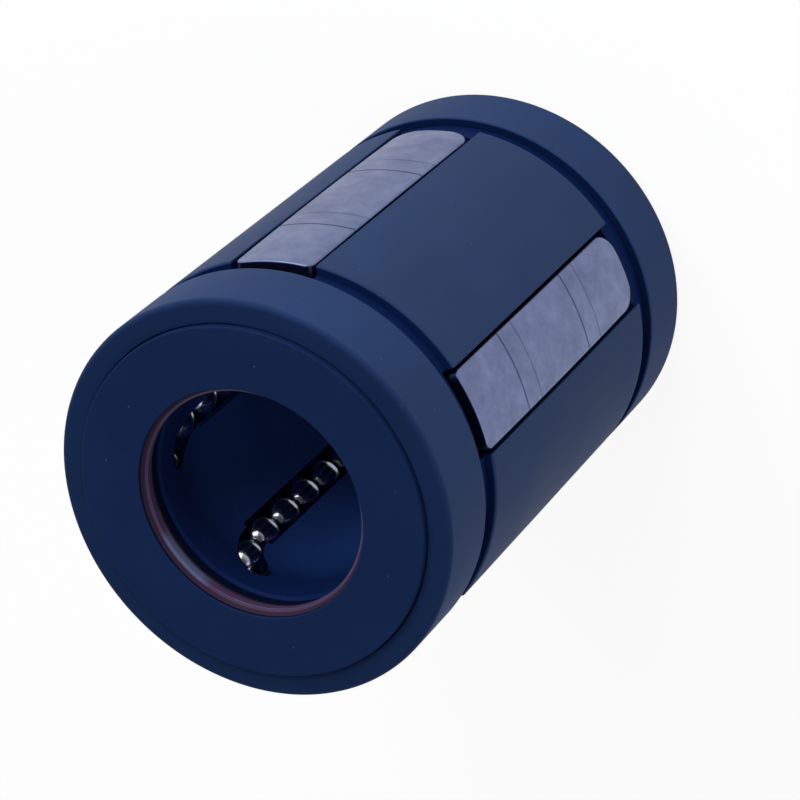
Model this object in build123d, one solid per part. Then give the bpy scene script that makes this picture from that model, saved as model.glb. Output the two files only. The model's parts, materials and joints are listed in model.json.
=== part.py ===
"""Closed, self-aligning linear ball bearing for a round shaft, standing on its end.

The bearing axis is +Z. The origin is the centre of the lower end face.
A slotted outer sleeve holds loose steel load plates over an inner retainer. Each plate
carries one row of loaded balls, which run back through the retainer in a closed loop.
A ring and a sealed cover shut each end.
"""
from build123d import *
from math import acos, cos, degrees, radians, sin
import os

# Catalogue sizes, in millimetres
shaft_d = 12.0
outer_d = 22.0
length = 32.0
groove_span = 22.9            # over the outer edges of the two retaining-ring grooves
groove_w = 1.3
groove_depth = 0.5
ball_d = 2.381
circuits = 5
turn_balls = 3                # balls in each end turn of a circuit

# Ball track
load_play = 0.015             # shaft to loaded balls
ball_gap = 0.04               # between neighbours in a straight row
turn_gap = 0.056              # between neighbours in an end turn
track_play = 0.06             # ball to track wall
track_end_wall = 0.6          # retainer left beyond an end turn
track_mouth_w = 1.9           # slot through which the loaded balls reach the shaft

# Load plates
plate_w = 4.45
plate_side_gap = 0.2
plate_end_gap = 0.25
plate_shift = 0.3             # towards the upper end
plate_short = 0.4             # land length less plate length
plate_rise = 0.85             # loaded ball centres to the plate's inner face
plate_crown = 0.09            # drop of the back at its ends, which lets the plate rock
plate_edge = 0.12
plate_lines = (3.25, 4.88)    # fine lines scored across the back, from the plate's middle
line_w = 0.1
line_depth = 0.05
plate_floor_gap = 0.12        # inner face to the retainer's pocket
race_play = 0.09              # raceway to balls with the plate level
plate_lower_corner_r = 1.3
plate_upper_corner_r = 0.5

# Sleeve, retainer and ends
sleeve_wall = 1.3
retainer_fit = 0.05
retainer_bore_gap = 0.2       # shaft to retainer bore
retainer_edge = 0.15
spigot_wall = 0.6
spigot_fit = 0.05
snap_bead = 0.14              # height of the bead that holds an end ring on its spigot
land_edge = 0.15
guide_play = 0.06             # ball to the sleeve guides that roof the end turns
guide_side_gap = 0.1
guide_root = 0.3              # guides sunk in the wall that carries them
ring_step = 0.3               # end ring's face below the cover's face
ring_edge = 0.4
ring_foot_edge = 0.15
ring_web = 1.6
cover_rim = 0.03              # sleeve bore radius less cover radius
cover_fit = 0.05
cover_t = 1.9
cover_edge = 0.12
cover_gap = 0.1               # cover to retainer and to sleeve end

# Shaft seal
lip_play = 0.03               # lip to shaft, as it lies with a shaft in
lip_h = 0.27                  # lip edge to the cover's bore
lip_depth = 0.18              # front edge of the lip below the cover's face
lip_slope = 0.3
lip_land = 0.3
seal_root_h = 0.7             # seal root into the cover's bore wall
seal_root_t = 0.9
cover_bore_edge = 0.15

shaft_r = shaft_d / 2
outer_r = outer_d / 2
ball_r = ball_d / 2
mid_z = length / 2
land_len = groove_span - 2 * groove_w
sleeve_in_r = outer_r - sleeve_wall
groove_r = outer_r - groove_depth
spigot_r = sleeve_in_r + spigot_wall
cover_r = sleeve_in_r - cover_rim
retainer_len = length - 2 * (cover_t + cover_gap)
track_r = ball_r + track_play
pitch = ball_d + ball_gap
turn_r = (ball_d + turn_gap) / (2 * sin(radians(90 / turn_balls)))
straight_room = retainer_len - 2 * (track_end_wall + turn_r + track_r)
row_balls = int(straight_room / pitch)
straight = row_balls * pitch

load_r = shaft_r + ball_r + load_play
return_r = sleeve_in_r - track_play - ball_r
return_angle = acos((load_r**2 + return_r**2 - 4 * turn_r**2) / (2 * load_r * return_r))
load_line = Vector(load_r, 0, 0)
return_line = Vector(return_r * cos(return_angle), return_r * sin(return_angle), 0)

plate_len = land_len - plate_short
plate_mid_z = mid_z + plate_shift
plate_in_x = load_r + plate_rise
slot_w = plate_w + 2 * plate_side_gap
slot_top = plate_mid_z + plate_len / 2 + plate_end_gap
slot_bottom = plate_mid_z - plate_len / 2 - plate_end_gap - plate_shift
pocket_x = plate_in_x - plate_floor_gap

ring_face = length - ring_step
ring_foot = (length + groove_span) / 2
spigot_end = ring_face - ring_web - cover_gap
lip_r = shaft_r + lip_play
cover_bore_r = lip_r + lip_h

# The plane of one circuit: local X runs along the bearing, local Y from the return row to the
# loaded row, and local Z out of the bearing.
across = (load_line - return_line).normalized()
circuit_plane = Plane(
    origin=(load_line + return_line) * 0.5 + Vector(0, 0, mid_z),
    x_dir=(0, 0, 1),
    z_dir=Vector(-across.Y, across.X, 0),
)


def ring_of(outline, rounds=None):
    """Turn a closed outline of (radius, height) points about the bearing axis.

    Rounds maps the number of a corner in the outline to its radius.
    """
    face = make_face(Polyline(*[(r, 0, z) for r, z in outline], close=True))
    for corner, radius in (rounds or {}).items():
        r, z = outline[corner]
        face = fillet(face.vertices().sort_by_distance((r, 0, z))[0], radius)
    return revolve(face, Axis.Z)


def at_circuit(shape, index):
    """Place a shape made for the first circuit at the circuit with this index."""
    return Rot(0, 0, index * 360 / circuits) * shape


def flipped(shape):
    """The same piece at the lower end."""
    return Pos(0, 0, length) * Rot(180, 0, 0) * shape


def ball_loop(radius):
    """Solid that a ball of this radius sweeps out along its closed path."""
    path = SlotCenterToCenter(straight, 2 * turn_r).wire()
    start = Plane(origin=path @ 0, z_dir=path % 0)
    return circuit_plane * sweep(start * Circle(radius), path=path)


def loop_band(width, low, high):
    """Upright band along the ball path, between two heights over the circuit plane."""
    outer = SlotCenterToCenter(straight, 2 * turn_r + width)
    inner = SlotCenterToCenter(straight, 2 * turn_r - width)
    return circuit_plane * Pos(0, 0, low) * extrude(outer - inner, high - low)


def plate_pocket():
    """Room for one load plate, through the sleeve and into the retainer."""
    place = Pos((outer_d + pocket_x) / 2, 0, (slot_top + slot_bottom) / 2)
    return place * Box(outer_d - pocket_x, slot_w, slot_top - slot_bottom)


def outer_sleeve():
    """Slotted moulding: a full-diameter land, a neck at each groove and a spigot at each end."""
    half_land = land_len / 2
    neck = groove_span / 2
    end = spigot_end - mid_z
    bead = (neck + end) / 2
    half = [
        (outer_r, half_land), (groove_r, half_land), (groove_r, neck), (spigot_r, neck),
        (spigot_r, bead - snap_bead), (spigot_r + snap_bead, bead), (spigot_r, bead + snap_bead),
        (spigot_r, end), (sleeve_in_r, end),
    ]
    outline = [(r, mid_z + h) for r, h in half] + [(r, mid_z - h) for r, h in reversed(half)]
    sleeve = ring_of(outline, {0: land_edge, len(outline) - 1: land_edge})
    room = Cylinder(sleeve_in_r + guide_root, retainer_len) - Cylinder(outer_r, straight)
    guide_w = 2 * (track_r - guide_side_gap)
    guide = loop_band(guide_w, ball_r + guide_play, sleeve_wall + ball_d)
    guide &= Pos(0, 0, mid_z) * room
    for index in range(circuits):
        sleeve += at_circuit(guide, index)
    for index in range(circuits):
        sleeve -= at_circuit(plate_pocket(), index)
    return sleeve


def ball_retainer():
    """Inner moulding with one closed ball track for each circuit, open outwards."""
    body = Cylinder(sleeve_in_r - retainer_fit, retainer_len)
    body -= Cylinder(shaft_r + retainer_bore_gap, retainer_len)
    body = Pos(0, 0, mid_z) * chamfer(body.edges().filter_by(GeomType.CIRCLE), retainer_edge)
    mouth = Pos(load_r - ball_r, 0, mid_z) * Box(ball_d, track_mouth_w, straight)
    track = ball_loop(track_r) + loop_band(2 * track_r, 0, outer_r) + mouth + plate_pocket()
    for index in range(circuits):
        body -= at_circuit(track, index)
    return body


def plate_back(reach):
    """Barrel that the backs of the plates lie on, with its middle at the plates' middle."""
    drop = plate_crown * (2 * reach / plate_len) ** 2
    low = plate_mid_z - reach
    high = plate_mid_z + reach
    back = ThreePointArc(
        (outer_r - drop, 0, low), (outer_r, 0, plate_mid_z), (outer_r - drop, 0, high)
    )
    sides = Polyline((outer_r - drop, 0, high), (0, 0, high), (0, 0, low), (outer_r - drop, 0, low))
    return revolve(make_face([back, *sides.edges()]), Axis.Z)


def load_plate():
    """Steel strip with a raceway inside, straight sides and a back crowned along its length."""
    plan = Plane(origin=(plate_in_x, 0, plate_mid_z), x_dir=(0, 1, 0), z_dir=(1, 0, 0))
    outline = Rectangle(plate_w, plate_len)
    lower = outline.vertices().sort_by(Axis.Y)[:2]
    outline = fillet(lower, plate_lower_corner_r)
    upper = outline.vertices().sort_by(Axis.Y)[-2:]
    outline = fillet(upper, plate_upper_corner_r)
    blank = plan * extrude(outline, outer_r)
    plate = blank & plate_back(plate_len / 2 + plate_shift)
    back_edges = plate.faces().sort_by(Axis.X)[-1].edges()
    plate = fillet(back_edges, plate_edge)
    for offset in plate_lines:
        for side in (1, -1):
            z = plate_mid_z + side * offset
            plate -= ring_of([
                (outer_r - line_depth, z), (outer_r + line_depth, z - line_w),
                (outer_r + line_depth, z + line_w),
            ])
    return plate - ball_loop(ball_r + race_play)


def end_ring():
    """Upper end ring: a skirt snapped over the sleeve's spigot and a web round the cover."""
    web_top = ring_face - ring_web
    bore = cover_r + cover_fit
    seat = spigot_r + spigot_fit
    bead = (ring_foot + spigot_end) / 2
    outline = [
        (outer_r, ring_foot), (outer_r, ring_face), (bore, ring_face), (bore, web_top),
        (seat, web_top), (seat, bead + snap_bead), (seat + snap_bead, bead),
        (seat, bead - snap_bead), (seat, ring_foot),
    ]
    return ring_of(outline, {0: ring_foot_edge, 1: ring_edge})


def seal_cover():
    """Upper cover disc, grooved round its bore for the seal."""
    foot = length - cover_t
    root_top = length - lip_depth - lip_slope
    root_r = cover_bore_r + seal_root_h
    outline = [
        (cover_r, foot), (cover_r, length), (cover_bore_r, length), (cover_bore_r, root_top),
        (root_r, root_top), (root_r, root_top - seal_root_t),
        (cover_bore_r, root_top - seal_root_t), (cover_bore_r, foot),
    ]
    return ring_of(outline, {1: cover_edge, 2: cover_bore_edge})


def seal_lip():
    """Upper wiper ring: a root held in the cover and a lip that slopes in to the shaft."""
    lip_top = length - lip_depth
    root_top = lip_top - lip_slope
    root_r = cover_bore_r + seal_root_h
    return ring_of([
        (cover_bore_r, lip_top), (cover_bore_r, root_top), (root_r, root_top),
        (root_r, root_top - seal_root_t), (cover_bore_r, root_top - seal_root_t),
        (lip_r, root_top - lip_land), (lip_r, root_top),
    ])


def ball_row(line):
    """Balls of one straight row, a whole number of pitches centred in the straight."""
    centres = [(i - (row_balls - 1) / 2) * pitch for i in range(row_balls)]
    return Compound([Pos(line.X, line.Y, mid_z + z) * Sphere(ball_r) for z in centres])


def ball_turn(side):
    """Balls of one end turn, evenly spaced round the half circle."""
    step = 180 / turn_balls
    balls = []
    for i in range(turn_balls):
        angle = radians((i + 0.5) * step)
        along = side * (straight / 2 + turn_r * sin(angle))
        balls.append(circuit_plane * Pos(along, turn_r * cos(angle), 0) * Sphere(ball_r))
    return Compound(balls)


nodes = {
    "outer_sleeve": outer_sleeve(),
    "ball_retainer": ball_retainer(),
    "front_end_ring": end_ring(),
    "front_seal_cover": seal_cover(),
    "front_seal_lip": seal_lip(),
}
for piece in ("end_ring", "seal_cover", "seal_lip"):
    nodes["rear_" + piece] = flipped(nodes["front_" + piece])

circuit_pieces = {
    "load_plate": load_plate(),
    "loaded_row": ball_row(load_line),
    "return_row": ball_row(return_line),
    "front_turn": ball_turn(1),
    "rear_turn": ball_turn(-1),
}
for name, piece in circuit_pieces.items():
    for index in range(circuits):
        nodes[f"{name}_{index + 1}"] = at_circuit(piece, index)

os.makedirs("parts", exist_ok=True)
for name, shape in nodes.items():
    export_step(shape, f"parts/{name}.step")

turn_centre = circuit_plane.from_local_coords((straight / 2, 0, 0))
print("balls in a row", row_balls, "pitch", round(pitch, 4), "straight", round(straight, 3))
print("loaded centres", round(load_r, 4), "return centres", round(return_r, 4),
      "at", round(degrees(return_angle), 3), "degrees")
print("turn radius", round(turn_r, 4), "turn centre", turn_centre, "axis", circuit_plane.z_dir)
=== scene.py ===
"""Looks of a closed, self-aligning linear ball bearing, standing on its end on a white table."""
import json
import math

import bpy
import numpy as np
from mathutils import Matrix, Vector


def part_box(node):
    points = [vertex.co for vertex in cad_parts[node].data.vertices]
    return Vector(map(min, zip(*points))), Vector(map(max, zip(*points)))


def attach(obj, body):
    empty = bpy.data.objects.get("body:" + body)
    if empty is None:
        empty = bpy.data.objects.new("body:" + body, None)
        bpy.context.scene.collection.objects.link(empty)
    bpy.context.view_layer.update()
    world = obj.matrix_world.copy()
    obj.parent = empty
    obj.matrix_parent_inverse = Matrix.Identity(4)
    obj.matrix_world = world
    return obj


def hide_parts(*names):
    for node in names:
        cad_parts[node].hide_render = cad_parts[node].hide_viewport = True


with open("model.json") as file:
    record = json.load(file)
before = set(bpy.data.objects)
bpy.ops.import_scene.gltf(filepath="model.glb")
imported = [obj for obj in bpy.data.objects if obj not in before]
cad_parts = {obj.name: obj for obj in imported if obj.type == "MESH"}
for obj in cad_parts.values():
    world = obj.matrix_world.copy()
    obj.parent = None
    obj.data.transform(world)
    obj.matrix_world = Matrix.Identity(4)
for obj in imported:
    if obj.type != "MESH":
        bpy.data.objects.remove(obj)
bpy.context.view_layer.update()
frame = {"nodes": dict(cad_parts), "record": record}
scene = bpy.context.scene
MM = 0.001

# The camera looks down on the upper end from in front of the first load plate, and is rolled so
# that the bearing's axis runs up to the right. The aim is a point beside the bearing's middle.
# It is a long lens on a frame 36 mm wide.
view_azimuth = math.radians(23.42)
view_elevation = math.radians(54.40)
view_roll = math.radians(-133.22)
view_distance = 174.3 * MM
view_aim = Vector((0.33, -1.32, 16.0)) * MM
view_lens = 144.8
view_frame = 36.0
camera_data = bpy.data.cameras.new("camera")
camera_data.lens = view_lens
camera_data.sensor_width = view_frame
camera_data.clip_start = 0.01
camera_data.clip_end = 5.0
camera = bpy.data.objects.new("camera", camera_data)
scene.collection.objects.link(camera)
backwards = Vector((
    math.cos(view_azimuth) * math.cos(view_elevation),
    math.sin(view_azimuth) * math.cos(view_elevation),
    math.sin(view_elevation),
))
level_turn = backwards.to_track_quat("Z", "Y").to_matrix()
camera.matrix_world = (
    Matrix.Translation(view_aim + backwards * view_distance)
    @ (level_turn @ Matrix.Rotation(view_roll, 3, "Z")).to_4x4()
)
scene.camera = camera
scene.view_settings.view_transform = "Standard"

# The table is a plain white sheet of matt paper. It looks as white as paper in a light tent does,
# and it still takes the bearing's soft shadow.
sheet_half = 0.6
sheet_corners = np.array([(-1, -1, 0), (1, -1, 0), (1, 1, 0), (-1, 1, 0)]) * sheet_half
sheet_mesh = bpy.data.meshes.new("table")
sheet_mesh.from_pydata(sheet_corners.tolist(), [], [(0, 1, 2, 3)])
table = bpy.data.objects.new("table", sheet_mesh)
scene.collection.objects.link(table)


def linear(hex_colour):
    """sRGB hex to linear light: each channel through the sRGB curve."""
    srgb = np.array([int(hex_colour[i:i + 2], 16) / 255 for i in (1, 3, 5)])
    light = np.where(srgb <= 0.04045, srgb / 12.92, ((srgb + 0.055) / 1.055) ** 2.4)
    return (*light.tolist(), 1.0)


def add_node(tree, kind, settings=None, inputs=None):
    """Add one node, set its properties, then set or link its inputs by name or number."""
    node = tree.nodes.new(kind)
    for key, value in (settings or {}).items():
        setattr(node, key, value)
    for key, value in (inputs or {}).items():
        if isinstance(value, bpy.types.NodeSocket):
            tree.links.new(value, node.inputs[key])
        else:
            node.inputs[key].default_value = value
    return node


def seen_directly(tree):
    """1 for rays that show a surface itself or its mirror image, and 0 for rays that light it."""
    rays = add_node(tree, "ShaderNodeLightPath")
    mirrored = add_node(
        tree, "ShaderNodeMath", {"operation": "MAXIMUM"},
        {0: rays.outputs["Is Glossy Ray"], 1: rays.outputs["Is Transmission Ray"]},
    )
    return add_node(
        tree, "ShaderNodeMath", {"operation": "MAXIMUM"},
        {0: rays.outputs["Is Camera Ray"], 1: mirrored.outputs[0]},
    ).outputs[0]


# Matt paper, with a share of its own white that only the camera and mirrors see.
paper_glow = 0.90
paper = bpy.data.materials.new("white_paper")
paper.use_nodes = True
tree = paper.node_tree
tree.nodes.clear()
matt = add_node(tree, "ShaderNodeBsdfDiffuse", inputs={"Color": linear("#f6f7f8")})
glow = add_node(tree, "ShaderNodeEmission", inputs={"Color": (1, 1, 1, 1), "Strength": 1.0})
share = add_node(
    tree, "ShaderNodeMath", {"operation": "MULTIPLY"}, {0: seen_directly(tree), 1: paper_glow}
)
lifted = add_node(
    tree, "ShaderNodeMixShader",
    inputs={0: share.outputs[0], 1: matt.outputs[0], 2: glow.outputs[0]},
)
add_node(tree, "ShaderNodeOutputMaterial", inputs={"Surface": lifted.outputs[0]})
sheet_mesh.materials.append(paper)

# The light is a soft tent: a dim even world, a wide box low on the side of the second plate and a
# weaker one on the other side, so the round sides are lit and the upper face stays darker. Seen
# directly or in a mirror, the tent is white up to its roof, which darkens with the height.
tent_light = 0.42
roof_starts = math.sin(math.radians(25))
roof_full = math.sin(math.radians(45))
roof_light = 0.12
world = bpy.data.worlds.new("tent")
world.use_nodes = True
scene.world = world
tree = world.node_tree
tree.nodes.clear()
dim = add_node(
    tree, "ShaderNodeBackground", inputs={"Color": (1, 1, 1, 1), "Strength": tent_light}
)
direction = add_node(tree, "ShaderNodeTexCoord").outputs["Generated"]
upward = add_node(tree, "ShaderNodeSeparateXYZ", inputs={0: direction}).outputs["Z"]
roof = add_node(
    tree, "ShaderNodeMapRange",
    inputs={0: upward, 1: roof_starts, 2: roof_full, 3: 1.0, 4: roof_light},
)
white = add_node(
    tree, "ShaderNodeBackground", inputs={"Color": (1, 1, 1, 1), "Strength": roof.outputs[0]}
)
both = add_node(
    tree, "ShaderNodeMixShader",
    inputs={0: seen_directly(tree), 1: dim.outputs[0], 2: white.outputs[0]},
)
add_node(tree, "ShaderNodeOutputWorld", inputs={"Surface": both.outputs[0]})
box_aim = Vector((0, 0, 16 * MM))


def soft_box(name, azimuth, elevation, distance, watts, size=0.40):
    """Square area lamp aimed at the bearing's middle from an azimuth and elevation in degrees."""
    a, e = math.radians(azimuth), math.radians(elevation)
    away = Vector((math.cos(a) * math.cos(e), math.sin(a) * math.cos(e), math.sin(e)))
    data = bpy.data.lights.new(name, "AREA")
    data.size = size
    data.energy = watts
    lamp = bpy.data.objects.new(name, data)
    lamp.location = box_aim + away * distance
    lamp.rotation_euler = away.to_track_quat("Z", "Y").to_euler()
    scene.collection.objects.link(lamp)


soft_box("key_box", azimuth=85, elevation=30, distance=0.45, watts=2.4)
soft_box("fill_box", azimuth=-30, elevation=25, distance=0.50, watts=0.6)

# The outer sleeve is one acetal moulding: a land with five slots for the load plates, a neck at
# each end for a retaining ring, and a spigot with a bead that an end ring snaps over. Guides
# inside it roof the end turns of the ball tracks.
record = frame["record"]
joints = {joint["name"]: joint for joint in record["behaviour"]["joints"]}
circuits = sum(name.startswith("load_plate") for name in frame["nodes"])
sleeve_low, sleeve_high = (np.array(corner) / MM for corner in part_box("outer_sleeve"))
plate_low, plate_high = (np.array(corner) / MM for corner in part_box("load_plate_1"))
ring_low, ring_high = (np.array(corner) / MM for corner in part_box("front_end_ring"))
row_low, row_high = (np.array(corner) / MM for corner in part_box("loaded_row_1"))
outer_r = sleeve_high[1]
mid_z = (sleeve_low[2] + sleeve_high[2]) / 2
groove_r = outer_r - 0.5
groove_w = 1.3
spigot_r = outer_r - 0.7
sleeve_in_r = outer_r - 1.3
sleeve_bead = 0.14
land_edge = 0.15
slot_edge = 0.07
slot_side_gap, slot_low_gap, slot_high_gap = 0.2, 0.55, 0.25
slot_half = plate_high[1] + slot_side_gap
slot_low = plate_low[2] - slot_low_gap
slot_high = plate_high[2] + slot_high_gap
# A rounded edge has 6 points, and one more at 1.6 times its radius keeps the flat's shading flat.
edge_points = 6
flat_guard = 1.6
ball_r = (row_high[0] - row_low[0]) / 2
load_r = (row_high[0] + row_low[0]) / 2
guide_half = ball_r - 0.04
guide_play = 0.06
guide_root = 0.3
turn_centre = np.array(joints["front_turn_1"]["pos_m"]) / MM
circuit_normal = -np.array(joints["front_turn_1"]["axis"])
across = np.array([circuit_normal[1], -circuit_normal[0], 0])
turn_r = np.linalg.norm(turn_centre[:2] - (load_r, 0))
straight_half = turn_centre[2] - mid_z


def rounded(corners, steps=7):
    """Points of a closed outline whose corners (radius, height, rounding) may be rounded.

    A rounding is an arc tangent to both edges: from the corner it starts at rounding / tan(half
    the corner's angle). One more point beyond each end of an arc keeps the flats' shading flat.
    """
    guard_share = 0.3
    corners = np.array(corners, float)
    points = []
    for i, (r, z, rounding) in enumerate(corners):
        corner = np.array([r, z])
        if rounding == 0:
            points.append(corner[None])
            continue
        to_last = corners[i - 1, :2] - corner
        to_next = corners[(i + 1) % len(corners), :2] - corner
        to_last /= np.linalg.norm(to_last)
        to_next /= np.linalg.norm(to_next)
        half = np.arccos(to_last @ to_next) / 2
        centre = corner + (to_last + to_next) / (2 * np.cos(half)) * rounding / np.sin(half)
        reach = rounding / np.tan(half)
        start = corner + to_last * reach - centre
        end = corner + to_next * reach - centre
        sweep = np.pi - 2 * half
        t = np.linspace(0, 1, steps)[:, None]
        arc = centre + (start * np.sin((1 - t) * sweep) + end * np.sin(t * sweep)) / np.sin(sweep)
        guard = rounding * guard_share
        points.append(corner + to_last * (reach + guard))
        points.append(arc)
        points.append(corner + to_next * (reach + guard))
    return np.vstack([np.atleast_2d(p) for p in points])


def grid_quads(rows, columns, closed_rows=False, closed_columns=False):
    """Quads of a grid of points numbered row by row, counterclockwise where columns run right
    and rows run up."""
    p = np.arange(rows if closed_rows else rows - 1)[:, None]
    q = np.arange(columns if closed_columns else columns - 1)[None, :]
    p_next = (p + 1) % rows
    q_next = (q + 1) % columns
    here, above = p * columns, p_next * columns
    corners = (here + q, here + q_next, above + q_next, above + q)
    return np.stack([np.broadcast_to(c, (p.size, q.size)) for c in corners], -1).reshape(-1, 4)


def slab(top, bottom):
    """Closed solid between two grids of the same size, with walls between their borders.

    Rows by columns of the top, in that order, turn about its outward side.
    """
    u, v = top.shape[:2]
    count = u * v
    numbers = np.arange(count).reshape(u, v)
    upper = grid_quads(u, v)[:, ::-1]
    border = np.concatenate([
        numbers[:, 0], numbers[-1, 1:], numbers[-2::-1, -1], numbers[0, -2:0:-1],
    ])
    after = np.roll(border, -1)
    walls = np.stack([border, border + count, after + count, after], -1)
    points = np.concatenate([top.reshape(-1, 3), bottom.reshape(-1, 3)])
    return points, np.concatenate([upper, upper[:, ::-1] + count, walls])


def turned_about_axis(points, index):
    """Points of the first circuit's piece at another circuit: a turn about Z by equal steps."""
    a = 2 * np.pi * index / circuits
    turn = np.array([[np.cos(a), -np.sin(a), 0], [np.sin(a), np.cos(a), 0], [0, 0, 1]])
    return points @ turn.T


def joined(parts):
    """One point array and one face array from several."""
    offsets = np.cumsum([0] + [len(points) for points, faces in parts[:-1]])
    faces = np.concatenate([faces + offset for (points, faces), offset in zip(parts, offsets)])
    return np.concatenate([points for points, faces in parts]), faces


def put_in(name, shape, material, body, slot, *nodes):
    """Make a mesh from points in millimetres and quads, fit it to the frame and give its finish."""
    crease = math.radians(32)
    points, faces = shape
    used, faces = np.unique(faces, return_inverse=True)
    points = points[used] * MM
    faces = faces.reshape(-1, 4)
    mesh = bpy.data.meshes.new(name)
    mesh.vertices.add(len(points))
    mesh.vertices.foreach_set("co", points.ravel())
    mesh.loops.add(faces.size)
    mesh.loops.foreach_set("vertex_index", faces.ravel().astype(np.int32))
    mesh.polygons.add(len(faces))
    mesh.polygons.foreach_set("loop_start", np.arange(0, faces.size, 4, dtype=np.int32))
    mesh.update(calc_edges=True)
    mesh.shade_smooth()
    mesh.set_sharp_from_angle(angle=crease)
    mesh.materials.append(material)
    piece = bpy.data.objects.new(name, mesh)
    scene.collection.objects.link(piece)
    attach(piece, body)
    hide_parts(*nodes)


def slotted_tube(outside, inside_r, low, high, half, edge):
    """Tube turned from an outside outline, with a straight slot through it for each circuit.

    Each row of the outline is carried round the axis. Beside a slot the radius falls along a
    quarter circle of the edge's radius, and a wall joins the outer skin to the inner one. Each
    slot's angle at a radius is the arc sine of its half width over that radius.
    """
    first = np.flatnonzero(np.isclose(outside[:, 1], low))[0]
    last = np.flatnonzero(np.isclose(outside[:, 1], high))[0]
    hole_rows = last - first + 1
    inside = np.stack([np.full(hole_rows, inside_r), np.linspace(high, low, hole_rows)], -1)
    outline = np.concatenate([outside, inside])
    rows = len(outline)
    inner = len(outside)
    row = np.arange(rows)[:, None]
    drop = np.where((row >= first) & (row <= last), edge, 0.0)
    r = outline[:, :1]
    slot_steps, land_steps = 10, 26
    rounding = np.radians(np.linspace(0, 90, edge_points))[None, :]
    beside_r = np.concatenate([r - drop * (1 - np.sin(rounding)), r], 1)
    beside_y = half + edge * np.append(1 - np.cos(rounding[0]), flat_guard)[None, :]
    beside = np.arcsin(beside_y / beside_r)
    share = np.linspace(-1, 1, slot_steps + 1)[None, 1:-1]
    over_slot = beside[:, :1] * share
    over_slot_r = np.broadcast_to(r - drop, over_slot.shape)
    period = 2 * np.pi / circuits
    t = np.linspace(0, 1, land_steps + 1)[None, 1:-1]
    over_land = beside[:, -1:] + (period - 2 * beside[:, -1:]) * t
    over_land_r = np.broadcast_to(r, over_land.shape)
    angle = np.concatenate([
        -beside[:, :1], over_slot, beside, over_land, period - beside[:, :0:-1],
    ], 1)
    radius = np.concatenate([
        beside_r[:, :1], over_slot_r, beside_r, over_land_r, beside_r[:, :0:-1],
    ], 1)
    per = angle.shape[1]
    angle = np.concatenate([angle + period * k for k in range(circuits)], 1)
    radius = np.tile(radius, (1, circuits))
    columns = per * circuits
    height = np.broadcast_to(outline[:, 1:], angle.shape)
    points = np.stack([radius * np.cos(angle), radius * np.sin(angle), height], -1).reshape(-1, 3)

    quads = grid_quads(rows, columns, closed_rows=True, closed_columns=True)
    quads = quads.reshape(rows, columns, 4)
    in_slot = (np.arange(columns) % per < slot_steps)[None, :]
    in_rows = ((row >= first) & (row < last)) | ((row >= inner) & (row < inner + hole_rows - 1))
    skin = quads[~(in_slot & in_rows)]
    starts = np.arange(circuits) * per
    p = np.arange(first, last)[:, None]
    facing = inner + last - p

    def wall(column):
        return np.stack([
            p * columns + column, (p + 1) * columns + column,
            (facing - 1) * columns + column, facing * columns + column,
        ], -1).reshape(-1, 4)

    def sill(row_out, row_in):
        q = (starts[:, None] + np.arange(slot_steps)[None, :]).ravel()
        return np.stack([
            row_out * columns + q, row_out * columns + q + 1,
            row_in * columns + q + 1, row_in * columns + q,
        ], -1)

    parts = [
        skin, wall(starts + slot_steps), wall(starts)[:, ::-1],
        sill(first, inner + hole_rows - 1), sill(last, inner)[:, ::-1],
    ]
    return points, np.concatenate(parts)


def turn_guide(side):
    """Band over one end turn: an arc about the turn's centre, from the balls to the sleeve's wall.

    Its roof is where the normal through each point of the arc meets the wall, by the quadratic
    for a line and a circle. The slot cuts its end on the loaded side square.
    """
    columns, rows = 7, 25
    end = slot_high - mid_z if side > 0 else mid_z - slot_low
    radius = turn_r + side * np.linspace(-guide_half, guide_half, columns)[None, :]
    start = np.arcsin((end - straight_half) / radius)
    turn = start + (np.pi - start) * np.linspace(0, 1, rows)[:, None]
    along = straight_half + radius * np.sin(turn)
    sideways = radius * np.cos(turn)
    flat = np.array([turn_centre[0], turn_centre[1], 0]) + sideways[..., None] * across
    foot = flat @ circuit_normal
    roof = -foot + np.sqrt(foot**2 - (flat**2).sum(-1) + (sleeve_in_r + guide_root)**2)
    level = flat + np.array([0, 0, 1]) * (mid_z + side * along)[..., None]
    under = level + circuit_normal * (ball_r + guide_play)
    return slab(level + circuit_normal * roof[..., None], under)


def inside_of(tree, value, edge, blend):
    """1 where a length is under an edge by the blend or more, 0 beyond the edge, and even between.
    The length is in metres, the edge and the blend in millimetres."""
    return add_node(
        tree, "ShaderNodeMapRange",
        inputs={0: value, 1: (edge - blend) * MM, 2: edge * MM, 3: 1.0, 4: 0.0},
    ).outputs[0]


def axis_distance(tree, place):
    """Distance of a place from the bearing's axis."""
    flat = add_node(
        tree, "ShaderNodeVectorMath", {"operation": "MULTIPLY"}, {0: place, 1: (1, 1, 0)}
    )
    length = add_node(tree, "ShaderNodeVectorMath", {"operation": "LENGTH"}, {0: flat.outputs[0]})
    return length.outputs["Value"]


def height_from_middle(tree, place):
    """Height of a place over the bearing's middle, in metres, with its sign."""
    parts = add_node(tree, "ShaderNodeSeparateXYZ", inputs={0: place})
    return add_node(
        tree, "ShaderNodeMath", {"operation": "SUBTRACT"}, {0: parts.outputs["Z"], 1: mid_z * MM}
    ).outputs[0]


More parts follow.
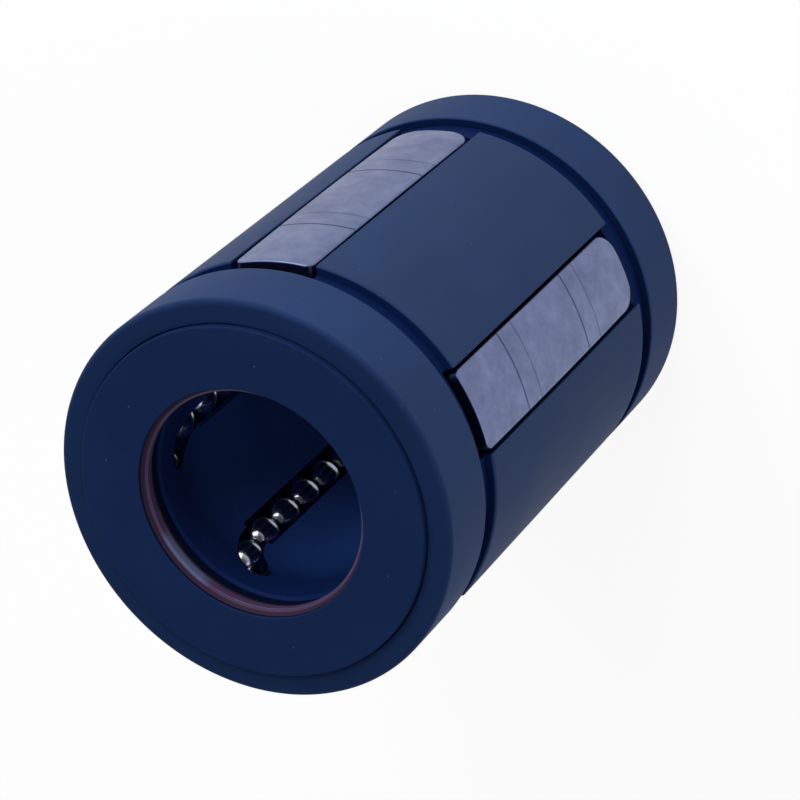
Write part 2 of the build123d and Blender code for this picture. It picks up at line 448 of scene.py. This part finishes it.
def acetal(
    name, colour, painted_light_and_shade_colour, radius, reach, blend, roughness=0.6, marks=0.0, end=None
):
    """Moulded acetal: a satin skin from a fine spark-eroded mould, a little uneven in tone, with
    a few pale specks. Nearer to the axis than the radius and nearer to the bearing's middle than
    the reach, it takes the painted light and shade colour: deeper where it is painted shade and
    paler where it is painted light. An end is a colour of painted shade and the height from the
    middle past which the moulding takes it.
    """
    cloud_size, cloud_low, cloud_high = 5, 0.3, 0.7
    tone_swing, gloss_swing = 0.08, 0.05
    end_blend = 0.3
    material = bpy.data.materials.new(name)
    material.use_nodes = True
    tree = material.node_tree
    shader = tree.nodes["Principled BSDF"]
    place = add_node(tree, "ShaderNodeTexCoord").outputs["Object"]
    cloud = add_node(
        tree, "ShaderNodeTexNoise",
        inputs={"Vector": place, "Scale": 1 / (cloud_size * MM), "Detail": 3.0},
    )
    tone = add_node(tree, "ShaderNodeMapRange", inputs={
        0: cloud.outputs["Fac"], 1: cloud_low, 2: cloud_high, 3: 1 - tone_swing, 4: 1 + tone_swing,
    })
    near_axis = inside_of(tree, axis_distance(tree, place), radius, blend)
    height = add_node(
        tree, "ShaderNodeMath", {"operation": "ABSOLUTE"}, {0: height_from_middle(tree, place)}
    )
    near_middle = inside_of(tree, height.outputs[0], reach, blend)
    # The share of painted light and shade: nearer the axis than the radius and nearer the middle
    # than the reach.
    inner = add_node(
        tree, "ShaderNodeMath", {"operation": "MULTIPLY"}, {0: near_axis, 1: near_middle}
    )
    plain = add_node(
        tree, "ShaderNodeMix", {"data_type": "RGBA"},
        {0: inner.outputs[0], 6: linear(colour), 7: linear(painted_light_and_shade_colour)},
    )
    # An end's colour is painted shade on the end face.
    if end:
        before_end = inside_of(tree, height.outputs[0], end[1], end_blend)
        plain = add_node(
            tree, "ShaderNodeMix", {"data_type": "RGBA"},
            {0: before_end, 6: linear(end[0]), 7: plain.outputs[2]},
        )
    base = add_node(
        tree, "ShaderNodeVectorMath", {"operation": "SCALE"},
        {0: plain.outputs[2], "Scale": tone.outputs[0]},
    ).outputs[0]
    # Specks of dust 0.1 mm across, one in each cell of 1.5 mm, of which few reach the surface.
    speck_cell, speck_core, speck_rim, speck_strength = 1.5, 0.02, 0.04, 0.22
    speck = add_node(
        tree, "ShaderNodeTexVoronoi", inputs={"Vector": place, "Scale": 1 / (speck_cell * MM)}
    )
    dust = add_node(tree, "ShaderNodeMapRange", inputs={
        0: speck.outputs["Distance"], 1: speck_core, 2: speck_rim, 3: speck_strength, 4: 0.0,
    })
    base = add_node(
        tree, "ShaderNodeMix", {"data_type": "RGBA"},
        {0: dust.outputs[0], 6: base, 7: linear("#7f8aa6")},
    ).outputs[2]
    tree.links.new(base, shader.inputs["Base Color"])
    # The mould's grain is 0.05 mm, drawn at 0.15 mm so that it shows as a soft satin.
    grain_size, grain_strength, relief = 0.15, 0.10, 0.02
    grain = add_node(
        tree, "ShaderNodeTexNoise",
        inputs={"Vector": place, "Scale": 1 / (grain_size * MM), "Detail": 2.0},
    )
    gloss = add_node(tree, "ShaderNodeMapRange", inputs={
        0: cloud.outputs["Fac"], 1: cloud_low, 2: cloud_high,
        3: roughness - gloss_swing, 4: roughness + gloss_swing,
    })
    tree.links.new(gloss.outputs[0], shader.inputs["Roughness"])
    skin = add_node(tree, "ShaderNodeBump", inputs={
        "Height": grain.outputs["Fac"], "Strength": grain_strength, "Distance": relief * MM,
    }).outputs["Normal"]
    if marks:
        # Faint rings about the axis, 0.35 mm apart, where the face was turned or has rubbed.
        ring_step = 0.35
        rings = add_node(
            tree, "ShaderNodeTexNoise", {"noise_dimensions": "1D"},
            {"W": axis_distance(tree, place), "Scale": 1 / (ring_step * MM), "Detail": 3.0},
        )
        skin = add_node(tree, "ShaderNodeBump", inputs={
            "Height": rings.outputs["Fac"], "Strength": marks, "Distance": relief * MM,
            "Normal": skin,
        }).outputs["Normal"]
    tree.links.new(skin, shader.inputs["Normal"])
    shader.inputs["Specular IOR Level"].default_value = 0.05
    shader.inputs["Specular Tint"].default_value = linear("#9db0e6")
    return material


bead_z = (ring_low[2] + sleeve_high[2]) / 2
land_high = ring_low[2] - groove_w
half_outline = [
    (outer_r, land_high, land_edge), (groove_r, land_high, 0), (groove_r, slot_high, 0),
    (groove_r, ring_low[2], 0), (spigot_r, ring_low[2], 0), (spigot_r, bead_z - sleeve_bead, 0),
    (spigot_r + sleeve_bead, bead_z, 0), (spigot_r, bead_z + sleeve_bead, 0),
    (spigot_r, sleeve_high[2], 0), (sleeve_in_r, sleeve_high[2], 0),
]
lower_outline = [(r, 2 * mid_z - z, rounding) for r, z, rounding in reversed(half_outline)]
lower_outline = [
    (r, slot_low if np.isclose(z, 2 * mid_z - slot_high) else z, rounding)
    for r, z, rounding in lower_outline
]
sleeve_shape = slotted_tube(
    rounded(lower_outline + half_outline), sleeve_in_r, slot_low, slot_high, slot_half, slot_edge
)
guides = [
    (turned_about_axis(points, k), faces)
    for points, faces in (turn_guide(side) for side in (1, -1)) for k in range(circuits)
]
# The slots' walls and the necks are painted deeper in colour than the lands, over the whole length:
# painted shade.
skin_blend = 0.06
whole_length = 20
sleeve_plastic = acetal(
    "moulded_acetal_sleeve", "#243556", "#081a42", radius=outer_r - slot_edge,
    reach=whole_length, blend=skin_blend,
)
put_in(
    "slotted_sleeve", joined([sleeve_shape] + guides), sleeve_plastic, "housing", "sleeve_plastic",
    "outer_sleeve",
)

# The retainer is a darker acetal moulding, pressed into the sleeve from an end. It has a closed
# track for each ball circuit, with a mouth through which the loaded balls reach the shaft. Its own
# mesh is kept. Its bore is painted darkest near the ends and paler towards the middle: painted
# light and shade, paler deep in the bore where less light reaches, so that the bore looks even in
# tone.
retainer = bpy.data.objects["ball_retainer"]
retainer.data.materials.clear()
retainer.data.materials.append(
    acetal(
        "moulded_acetal_retainer", "#0a1b44", "#3560b4", radius=30, reach=12, blend=10,
        roughness=0.5,
    )
)

# Each load plate is a strip of hardened steel that lies loose in its slot on the balls. Its back is
# ground in a shallow crown, so that it can rock, with fine lines scored across it. Its inner face
# has a raceway for the balls.
plate_edge = 0.12
lower_corner_r = 1.3
upper_corner_r = 0.5
crown_drop = 0.09
race_play = 0.09
line_depths = {4.88: 0.018, 3.25: 0.010, -3.25: 0.018, -4.88: 0.010}
line_half = 0.06
line_shade = 0.12
line_clear = 0.12
plate_mid = (plate_low + plate_high) / 2
inner_over_balls = 0.85
plate_in_x = load_r + inner_over_balls
plate_half_w = plate_high[1]
plate_half_l = plate_high[2] - plate_mid[2]


def load_plate():
    """Steel strip between its crowned back and its inner face.

    Rows run across and columns run up. The half width at each height follows the corner arcs.
    The back is the cylinder about the axis less the crown's parabola, the edge's quarter circle
    and the scored lines. The inner face is flat and hollowed by the ball track's tube, whose
    height depends on the inner face's own distance, so three rounds find it.
    """
    corner_points, back_rows, back_columns, tube_rounds = 14, 60, 33, 3
    edge_steps = plate_edge * (1 - np.cos(np.radians(np.linspace(0, 90, edge_points))))
    offsets = np.append(edge_steps, plate_edge * flat_guard)
    ends = []
    for corner_r in (lower_corner_r, upper_corner_r):
        corner_steps = corner_r * (1 - np.cos(np.radians(np.linspace(0, 90, corner_points))))
        ends.append(np.unique(np.round(np.append(offsets, corner_steps), 5)))
    low_rows = -plate_half_l + ends[0]
    high_rows = plate_half_l - ends[1][::-1]
    between = np.linspace(low_rows[-1], high_rows[0], back_rows)[1:-1]
    beside_lines = np.array([-1.4, -1, -0.5, 0, 0.5, 1, 1.4]) * line_half
    line_z = np.array(list(line_depths))
    line_rows = (line_z[:, None] + beside_lines[None, :]).ravel()
    near_line = np.abs(between[:, None] - line_z[None, :]).min(1) < line_clear
    z = np.sort(np.concatenate([low_rows, between[~near_line], line_rows, high_rows]))
    to_low, to_high = z + plate_half_l, plate_half_l - z

    def arc_in(distance, radius):
        short = np.clip(radius - distance, 0, radius)
        return radius - np.sqrt(radius**2 - short**2)

    half_w = plate_half_w - arc_in(to_low, lower_corner_r) - arc_in(to_high, upper_corner_r)
    inner_share = np.linspace(-1, 1, back_columns)[1:-1]
    inner_half = half_w - offsets[-1]
    y = np.concatenate([
        -(half_w[None, :] - offsets[:, None]), inner_share[:, None] * inner_half[None, :],
        (half_w[None, :] - offsets[::-1, None]),
    ])
    z = np.broadcast_to(z[None, :], y.shape)
    corner_r = np.where(z < 0, lower_corner_r, upper_corner_r)
    over_y = np.abs(y) - (plate_half_w - corner_r)
    over_z = np.abs(z) - (plate_half_l - corner_r)
    outside = np.hypot(np.clip(over_y, 0, None), np.clip(over_z, 0, None))
    depth_in = corner_r - outside - np.minimum(np.maximum(over_y, over_z), 0)
    short = np.clip(plate_edge - depth_in, 0, plate_edge)
    edge_drop = plate_edge - np.sqrt(plate_edge**2 - short**2)
    scored = sum(
        depth * np.clip(1 - np.abs(z - at) / line_half, 0, 1) for at, depth in line_depths.items()
    )
    back_r = outer_r - crown_drop * (z / plate_half_l)**2 - scored
    back = np.stack([np.sqrt(back_r**2 - y**2) - edge_drop, y, z + plate_mid[2]], -1)

    beyond = np.clip(z + plate_mid[2] - turn_centre[2], 0, None)
    beyond = beyond + np.clip(2 * mid_z - turn_centre[2] - z - plate_mid[2], 0, None)
    flat_x = np.full_like(y, plate_in_x)
    for _ in range(tube_rounds):
        sideways = (flat_x - turn_centre[0]) * across[0] + (y - turn_centre[1]) * across[1]
        off_path = np.hypot(beyond, sideways) - turn_r
        tube = np.sqrt(np.clip((ball_r + race_play)**2 - off_path**2, 0, None))
        over_centre = tube - (y - turn_centre[1]) * circuit_normal[1]
        track_x = turn_centre[0] + over_centre / circuit_normal[0]
        flat_x = np.where(tube > 0, np.maximum(plate_in_x, track_x), plate_in_x)
    return slab(back, np.stack([flat_x, y, z + plate_mid[2]], -1))


def tumbled_steel():
    """Hardened steel tumbled after grinding: a satin grey with a violet cast, in cloudy patches
    about 2 mm across, darker and duller where a film of oil stays."""
    patch_size, film_size, film_share = 2.2, 0.7, 0.35
    oily, plain, rubbed, shade = "#5f688f", "#687298", "#717ba3", "#242c48"
    dull, bright = 0.46, 0.34
    side_depth, side_blend, full_line_depth = 0.10, 0.06, 0.020
    material = bpy.data.materials.new("tumbled_hardened_steel")
    material.use_nodes = True
    tree = material.node_tree
    shader = tree.nodes["Principled BSDF"]
    place = add_node(tree, "ShaderNodeTexCoord").outputs["Object"]
    patches = add_node(
        tree, "ShaderNodeTexNoise",
        inputs={"Vector": place, "Scale": 1 / (patch_size * MM), "Detail": 5.0, "Roughness": 0.6},
    )
    film = add_node(
        tree, "ShaderNodeTexNoise",
        inputs={"Vector": place, "Scale": 1 / (film_size * MM), "Detail": 4.0, "Roughness": 0.65},
    )
    cloudy = add_node(
        tree, "ShaderNodeMix", {"data_type": "FLOAT"},
        {0: film_share, 2: patches.outputs["Fac"], 3: film.outputs["Fac"]},
    )
    colours = add_node(tree, "ShaderNodeValToRGB", inputs={0: cloudy.outputs[0]})
    ramp = colours.color_ramp
    ramp.elements[0].position, ramp.elements[0].color = 0.36, linear(oily)
    ramp.elements[1].position, ramp.elements[1].color = 0.62, linear(rubbed)
    ramp.elements.new(0.5).color = linear(plain)
    # The scored lines are painted dark, each by its depth, as painted shade in the grooves, and so
    # are the sides and ends below the back's edge, as painted shade.
    height = add_node(
        tree, "ShaderNodeMath", {"operation": "SUBTRACT"},
        {0: height_from_middle(tree, place), 1: (plate_mid[2] - mid_z) * MM},
    )
    painted_shade_share = inside_of(tree, axis_distance(tree, place), outer_r - side_depth, side_blend)
    for at, depth in line_depths.items():
        away = add_node(
            tree, "ShaderNodeMath", {"operation": "SUBTRACT"}, {0: height.outputs[0], 1: at * MM}
        )
        away = add_node(tree, "ShaderNodeMath", {"operation": "ABSOLUTE"}, {0: away.outputs[0]})
        line = add_node(
            tree, "ShaderNodeMath", {"operation": "MULTIPLY"},
            {
                0: inside_of(tree, away.outputs[0], line_shade, line_shade),
                1: depth / full_line_depth,
            },
        )
        painted_shade_share = add_node(
            tree, "ShaderNodeMath", {"operation": "MAXIMUM"}, {0: painted_shade_share, 1: line.outputs[0]}
        ).outputs[0]
    darkened = add_node(
        tree, "ShaderNodeMix", {"data_type": "RGBA"},
        {0: painted_shade_share, 6: colours.outputs[0], 7: linear(shade)},
    )
    tree.links.new(darkened.outputs[2], shader.inputs["Base Color"])
    gloss = add_node(
        tree, "ShaderNodeMapRange",
        inputs={0: cloudy.outputs[0], 1: 0.35, 2: 0.65, 3: dull, 4: bright},
    )
    tree.links.new(gloss.outputs[0], shader.inputs["Roughness"])
    # Tumbling leaves a fine peened grain, 0.1 mm, drawn at 0.2 mm so that it shows.
    grain_size, grain_strength, relief = 0.2, 0.12, 0.02
    grain = add_node(
        tree, "ShaderNodeTexNoise",
        inputs={"Vector": place, "Scale": 1 / (grain_size * MM), "Detail": 3.0},
    )
    skin = add_node(tree, "ShaderNodeBump", inputs={
        "Height": grain.outputs["Fac"], "Strength": grain_strength, "Distance": relief * MM,
    })
    tree.links.new(skin.outputs["Normal"], shader.inputs["Normal"])
    shader.inputs["Metallic"].default_value = 1.0
    return material


plate_steel = tumbled_steel()
plate_points, plate_faces = load_plate()
for k in range(circuits):
    put_in(
        f"crowned_plate_{k + 1}", (turned_about_axis(plate_points, k), plate_faces), plate_steel,
        f"load_plate_{k + 1}", "plate_steel", f"load_plate_{k + 1}",
    )

# The balls are 3/32 inch bearing balls of polished chrome steel, loose in the tracks. A circuit
# has a loaded row under its plate, a return row, and a few balls in each end turn.
row_count = round((row_high[2] - row_low[2]) / (2 * ball_r))
row_z = np.linspace(row_low[2] + ball_r, row_high[2] - ball_r, row_count)
turn_count = 3
turn_angles = (np.arange(turn_count) + 0.5) * np.pi / turn_count
return_xy = 2 * turn_centre[:2] - (load_r, 0)


def ball_shape(centres):
    """Spheres as cubes of six square grids blown up to the ball's radius: each grid point is its
    direction from the centre, by the tangent of its angle, times the radius."""
    n = 12
    t = np.tan(np.linspace(-np.pi / 4, np.pi / 4, n + 1))
    a, b = np.meshgrid(t, t, indexing="ij")
    one = np.ones_like(a)
    sides = [(one, a, b), (-one, b, a), (b, one, a), (a, -one, b), (a, b, one), (b, a, -one)]
    cube = np.stack([np.stack(side, -1) for side in sides]).reshape(-1, 3)
    face = grid_quads(n + 1, n + 1)[:, ::-1]
    faces = np.concatenate([face + k * (n + 1)**2 for k in range(6)])
    _, where, back = np.unique(np.round(cube, 6), axis=0, return_index=True, return_inverse=True)
    cube = cube[where]
    faces = back.reshape(-1)[faces]
    unit = cube / np.linalg.norm(cube, axis=1, keepdims=True)
    return joined([(centre + unit * ball_r, faces) for centre in centres])


def polished_steel():
    """Lapped chrome steel: a mirror, with the faint haze of an oil film in patches of 0.5 mm."""
    film_size, clean, hazy = 0.5, 0.13, 0.22
    material = bpy.data.materials.new("lapped_chrome_steel")
    material.use_nodes = True
    tree = material.node_tree
    shader = tree.nodes["Principled BSDF"]
    place = add_node(tree, "ShaderNodeTexCoord").outputs["Object"]
    film = add_node(
        tree, "ShaderNodeTexNoise",
        inputs={"Vector": place, "Scale": 1 / (film_size * MM), "Detail": 3.0},
    )
    haze = add_node(
        tree, "ShaderNodeMapRange",
        inputs={0: film.outputs["Fac"], 1: 0.4, 2: 0.7, 3: clean, 4: hazy},
    )
    tree.links.new(haze.outputs[0], shader.inputs["Roughness"])
    colours = add_node(tree, "ShaderNodeValToRGB", inputs={0: film.outputs["Fac"]})
    colours.color_ramp.elements[0].color = linear("#8e95a6")
    colours.color_ramp.elements[1].color = linear("#a3a9b8")
    tree.links.new(colours.outputs[0], shader.inputs["Base Color"])
    shader.inputs["Metallic"].default_value = 1.0
    return material


ball_steel = polished_steel()
rows = {
    "loaded_row": np.stack([0 * row_z + load_r, 0 * row_z, row_z], -1),
    "return_row": np.stack([0 * row_z + return_xy[0], 0 * row_z + return_xy[1], row_z], -1),
}
for side, name in ((1, "front_turn"), (-1, "rear_turn")):
    centre = turn_centre * (1, 1, 0) + np.array([0, 0, 1]) * (mid_z + side * straight_half)
    rows[name] = (
        centre + np.sin(turn_angles)[:, None] * turn_r * np.array([0, 0, side])
        + np.cos(turn_angles)[:, None] * turn_r * across
    )
for name, centres in rows.items():
    points, faces = ball_shape(centres)
    for k in range(circuits):
        put_in(
            f"{name}_balls_{k + 1}", (turned_about_axis(points, k), faces), ball_steel,
            f"{name}_{k + 1}", "ball_steel", f"{name}_{k + 1}",
        )

# An end ring of the same acetal snaps over each spigot of the sleeve. Its skirt is the outer side
# of a retaining-ring groove, and its web goes round the cover.
ring_edge = 0.3
ring_foot_edge = 0.12
ring_inner_edge = 0.05
ring_web = 1.6
snap_gap = 0.05
seat_r = spigot_r + snap_gap
web_r = sleeve_in_r + 0.02
ring_foot, ring_face = ring_low[2], ring_high[2]


def turned(outline, segments=240):
    """Surface of revolution: a closed outline of (radius, height) carried round the axis."""
    angle = np.linspace(0, 2 * np.pi, segments, endpoint=False)[None, :]
    r, z = outline[:, :1], outline[:, 1:]
    points = np.stack([r * np.cos(angle), r * np.sin(angle), z + 0 * angle], -1).reshape(-1, 3)
    return points, grid_quads(len(outline), segments, closed_rows=True, closed_columns=True)


def at_both_ends(name, shape, material, slot):
    """Put in the upper piece and its image at the lower end: a half turn about the X axis."""
    points, faces = shape
    put_in("front_" + name[0], shape, material, "housing", slot, "front_" + name[1])
    half_turned = points * (1, -1, -1) + (0, 0, 2 * mid_z)
    put_in("rear_" + name[0], (half_turned, faces), material, "housing", slot, "rear_" + name[1])


ring_outline = rounded([
    (outer_r, ring_foot, ring_foot_edge), (outer_r, ring_face, ring_edge),
    (web_r, ring_face, ring_inner_edge),
    (web_r, ring_face - ring_web, 0), (seat_r, ring_face - ring_web, 0),
    (seat_r, bead_z + sleeve_bead, 0), (seat_r + sleeve_bead, bead_z, 0),
    (seat_r, bead_z - sleeve_bead, 0), (seat_r, ring_foot, ring_inner_edge),
])
# The foot beside the groove is painted deeper in colour than the rim, as painted shade, and the
# face a little deeper too, as painted shade on the end face.
ring_skin, foot_reach = 0.04, 0.1
ring_plastic = acetal(
    "moulded_acetal_ring", "#223458", "#08183a", radius=outer_r - ring_skin,
    reach=ring_foot - mid_z + foot_reach, blend=skin_blend, marks=0.10,
    end=("#142547", ring_face - mid_z),
)
at_both_ends(("snap_ring", "end_ring"), turned(ring_outline), ring_plastic, "ring_plastic")

# The cover is a flat moulded acetal disc, snapped into the ring and standing a little proud of it.
# It holds the seal in a groove round its bore.
cover_low, cover_high = (np.array(corner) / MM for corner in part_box("front_seal_cover"))
lip_low, lip_high = (np.array(corner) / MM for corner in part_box("front_seal_lip"))
cover_r = cover_high[0]
bore_r = 6.3
root_r = lip_high[0]
seal_groove_w = 0.9
root_low, root_high = lip_low[2], lip_low[2] + seal_groove_w
lower_edge, rim_edge, bore_edge = 0.05, 0.1, 0.12
cover_outline = rounded([
    (cover_r, cover_low[2], lower_edge), (cover_r, cover_high[2], rim_edge),
    (bore_r, cover_high[2], bore_edge),
    (bore_r, root_high, 0), (root_r, root_high, 0), (root_r, root_low, 0), (bore_r, root_low, 0),
    (bore_r, cover_low[2], lower_edge),
])
# The cover is painted deeper in colour than the ring's side, as painted shade on its face, and the
# wall of its bore deeper still, as painted shade.
bore_skin = 0.03
cover_plastic = acetal(
    "moulded_acetal_cover", "#122346", "#050c20", radius=bore_r + bore_skin,
    reach=whole_length, blend=bore_skin, marks=0.16,
)
at_both_ends(("sealed_cover", "seal_cover"), turned(cover_outline), cover_plastic, "cover_plastic")

# The seal is a moulded ring of dark red nitrile rubber. Its root is held in the cover, and its lip
# slopes in to a soft bead that wipes the shaft.
lip_r = 6.03
bead_in, bead_up, bead_h = 0.13, 0.06, 0.3
bead_edge, root_edge = 0.06, 0.05
lip_outline = rounded([
    (bore_r, lip_high[2], 0), (lip_r + bead_in, root_high + bead_up, root_edge),
    (lip_r, root_high, bead_edge), (lip_r, root_high - bead_h, bead_edge), (bore_r, root_low, 0),
    (root_r, root_low, root_edge), (root_r, root_high, root_edge), (bore_r, root_high, 0),
])


def nitrile():
    """Moulded nitrile rubber, dark red: dull, with a paler bloom in patches, and glossier on the
    lip's edge, which is painted paler as a painted highlight, with a patch of painted reflection on
    one side."""
    bloom_size = 1.5
    highlight_edge_reach, highlight_edge_blend = 0.16, 0.05
    dull, glossy = 0.8, 0.4
    highlight_patch_azimuth, highlight_patch_half, highlight_patch_fade = math.radians(201), math.radians(15), 0.2
    material = bpy.data.materials.new("moulded_nitrile_rubber")
    material.use_nodes = True
    tree = material.node_tree
    shader = tree.nodes["Principled BSDF"]
    place = add_node(tree, "ShaderNodeTexCoord").outputs["Object"]
    bloom = add_node(
        tree, "ShaderNodeTexNoise",
        inputs={"Vector": place, "Scale": 1 / (bloom_size * MM), "Detail": 4.0},
    )
    # The lip's edge is painted paler, a painted highlight, and is smoother than the rubber round
    # it, and a pale patch on it on one side of the upper end is a painted reflection.
    colours = add_node(tree, "ShaderNodeMix", {"data_type": "RGBA"}, {
        0: bloom.outputs["Fac"], 6: linear("#1e0c24"), 7: linear("#2a1430"),
    })
    # The paler edge is a painted highlight.
    painted_highlight_edge = inside_of(tree, axis_distance(tree, place), lip_r + highlight_edge_reach, highlight_edge_blend)
    paler = add_node(tree, "ShaderNodeMix", {"data_type": "RGBA"}, {
        0: painted_highlight_edge, 6: colours.outputs[2], 7: linear("#3f2e4c"),
    })
    level = add_node(
        tree, "ShaderNodeVectorMath", {"operation": "MULTIPLY"}, {0: place, 1: (1, 1, 0)}
    )
    outward = add_node(
        tree, "ShaderNodeVectorMath", {"operation": "NORMALIZE"}, {0: level.outputs[0]}
    )
    towards = (math.cos(highlight_patch_azimuth), math.sin(highlight_patch_azimuth), 0)
    facing = add_node(
        tree, "ShaderNodeVectorMath", {"operation": "DOT_PRODUCT"},
        {0: outward.outputs[0], 1: towards},
    )
    painted_highlight_patch = add_node(tree, "ShaderNodeMapRange", inputs={
        0: facing.outputs["Value"],
        1: math.cos(highlight_patch_half * (1 + highlight_patch_fade)), 2: math.cos(highlight_patch_half * (1 - highlight_patch_fade)),
    })
    upper = add_node(
        tree, "ShaderNodeMath", {"operation": "GREATER_THAN"},
        {0: height_from_middle(tree, place), 1: 0.0},
    )
    for share in (upper.outputs[0], painted_highlight_edge):
        painted_highlight_patch = add_node(
            tree, "ShaderNodeMath", {"operation": "MULTIPLY"}, {0: painted_highlight_patch.outputs[0], 1: share}
        )
    # The pale patch is a painted reflection.
    with_highlight_patch = add_node(tree, "ShaderNodeMix", {"data_type": "RGBA"}, {
        0: painted_highlight_patch.outputs[0], 6: paler.outputs[2], 7: linear("#4a5272"),
    })
    tree.links.new(with_highlight_patch.outputs[2], shader.inputs["Base Color"])
    gloss = add_node(
        tree, "ShaderNodeMapRange", inputs={0: painted_highlight_edge, 1: 0.0, 2: 1.0, 3: dull, 4: glossy}
    )
    tree.links.new(gloss.outputs[0], shader.inputs["Roughness"])
    shader.inputs["Specular IOR Level"].default_value = 0.25
    return material


at_both_ends(("wiper", "seal_lip"), turned(lip_outline), nitrile(), "seal_rubber")
